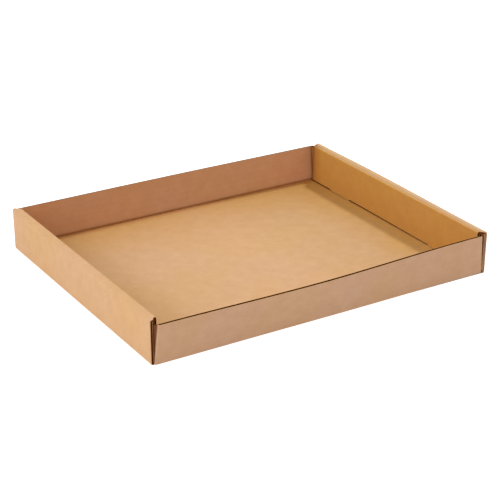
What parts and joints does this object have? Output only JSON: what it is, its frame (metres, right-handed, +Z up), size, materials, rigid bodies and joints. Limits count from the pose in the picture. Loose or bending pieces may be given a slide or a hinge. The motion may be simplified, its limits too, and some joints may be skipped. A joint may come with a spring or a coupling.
{
  "type": "corrugated cardboard tray",
  "caption": "Open shallow tray folded from one die-cut sheet of brown corrugated board; its rolled ends lock into floor slots and hold the side walls up without glue.",
  "frame": {"origin": "centre of the floor's underside, which rests on the table", "axes": "+X along the tray from one rolled end to the other, +Y from the front side wall to the back one, +Z up out of the tray's mouth"},
  "size_m": [0.381, 0.31, 0.045],
  "materials": {
    "kraft_board": "matte"
  },
  "bodies": {
    "root": {"tray": "kraft_board"}
  },
  "joints": []
}
